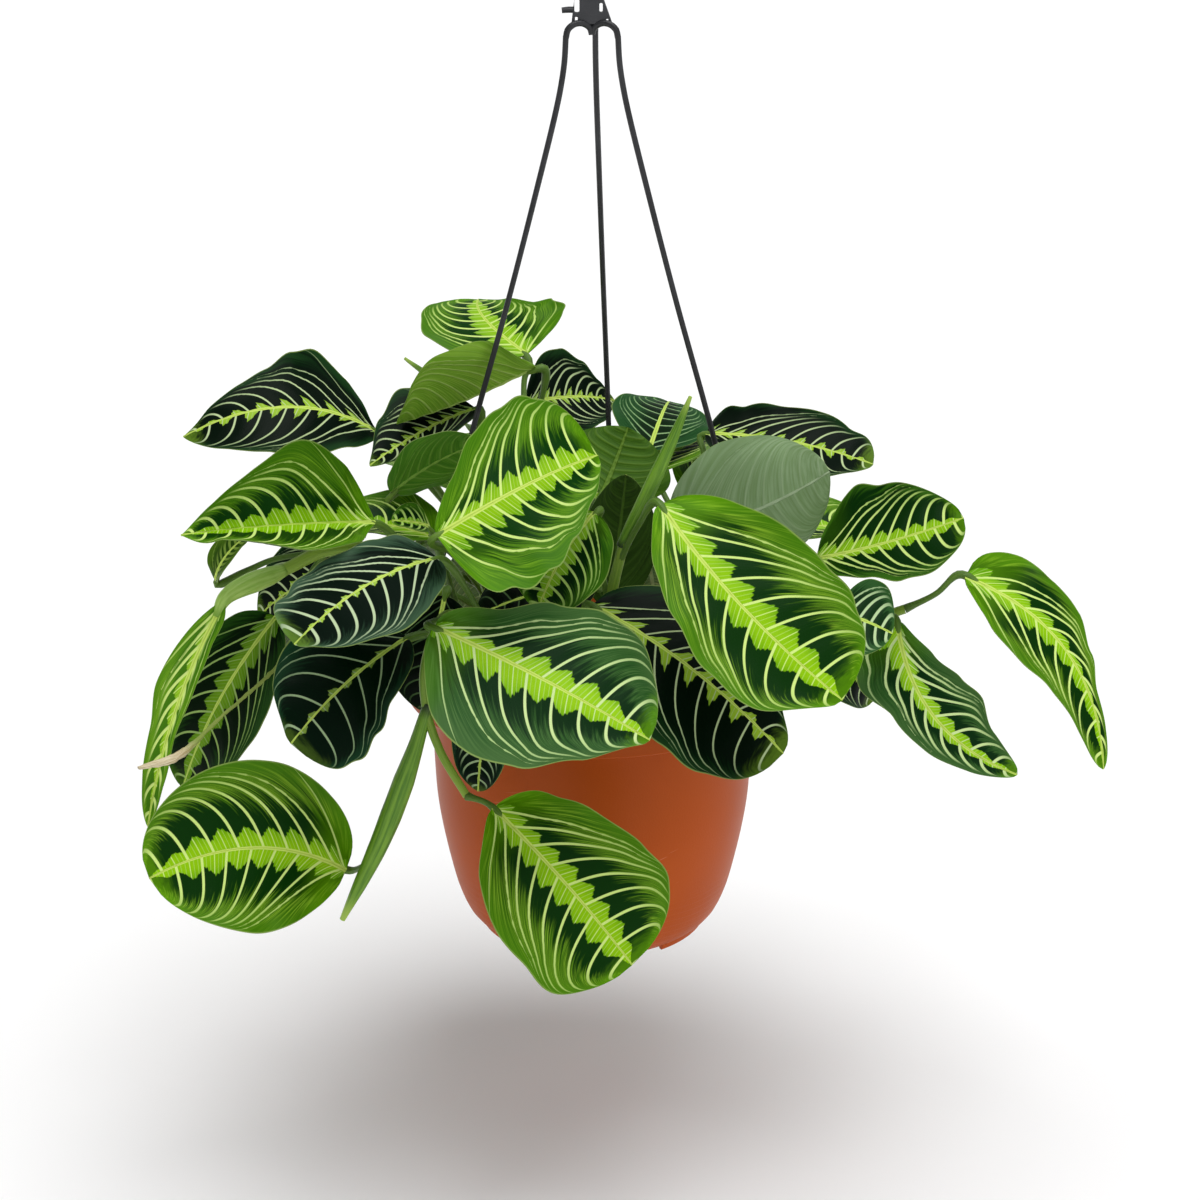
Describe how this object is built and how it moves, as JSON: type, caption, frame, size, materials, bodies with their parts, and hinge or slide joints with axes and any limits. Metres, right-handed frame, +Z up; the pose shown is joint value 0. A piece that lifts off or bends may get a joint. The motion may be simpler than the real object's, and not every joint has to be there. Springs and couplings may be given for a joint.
{
  "type": "potted prayer plant maranta",
  "caption": "Prayer plant with lime midrib bands and pale veins, in a terracotta-coloured plastic hanging pot on a black moulded hanger with an open hook.",
  "frame": {"origin": "the highest point of the hook's inner side, where it bears on what holds it, on the pot's middle line", "axes": "+Z up along the pot's middle line, +X to the right and -Y towards the viewer as pictured"},
  "size_m": [0.3675, 0.2838, 0.4323],
  "materials": {
    "pot_plastic": "terracotta-coloured moulded plastic with a satin sheen",
    "potting_soil": "dark moist potting mix of peat and bark",
    "black_plastic": "black moulded plastic, slightly glossy",
    "stem_green": "living yellow-green stem, softly waxy",
    "leaf_green": "living leaf, dark green with a lime band along the midrib and pale side veins, satin",
    "dry_straw": "thin pale stalk with a dry straw-coloured tip"
  },
  "bodies": {
    "root": {"pot": "pot_plastic", "soil": "potting_soil", "hook_head": "black_plastic", "strand_left": "black_plastic", "strand_right": "black_plastic", "strand_back": "black_plastic", "stem_front_left": "stem_green", "stem_front": "stem_green", "stem_centre": "stem_green", "stem_left": "stem_green", "stem_left_top": "stem_green", "stem_top": "stem_green", "stem_right_top": "stem_green", "stem_right": "stem_green", "shoot_back": "leaf_green", "shoot_back_left": "leaf_green", "shoot_back_right": "leaf_green", "leaf_front_high": "leaf_green", "leaf_front_middle": "leaf_green", "leaf_front_right": "leaf_green", "leaf_front_low": "leaf_green", "leaf_front_under": "leaf_green", "leaf_front_inner": "leaf_green", "leaf_front_shade": "leaf_green", "leaf_pot_front": "leaf_green", "leaf_left_low": "leaf_green", "leaf_left_front": "leaf_green", "leaf_left_hang": "leaf_green", "leaf_left_bright": "leaf_green", "leaf_left_dark": "leaf_green", "leaf_left_deep": "leaf_green", "leaf_left_outer": "leaf_green", "leaf_left_small": "leaf_green", "leaf_left_under": "leaf_green", "leaf_left_shade": "leaf_green", "leaf_left_bud": "leaf_green", "leaf_top": "leaf_green", "leaf_top_folded": "leaf_green", "leaf_top_dark": "leaf_green", "leaf_top_jagged": "leaf_green", "leaf_top_pale": "leaf_green", "leaf_middle_olive": "leaf_green", "leaf_middle_deep": "leaf_green", "leaf_right_back": "leaf_green", "leaf_right_top": "leaf_green", "leaf_right_pale": "leaf_green", "leaf_right_middle": "leaf_green", "leaf_right_under": "leaf_green", "leaf_right_small": "leaf_green", "leaf_right_hang": "leaf_green", "leaf_right_outer": "leaf_green", "dry_stalk": "dry_straw"}
  },
  "joints": []
}
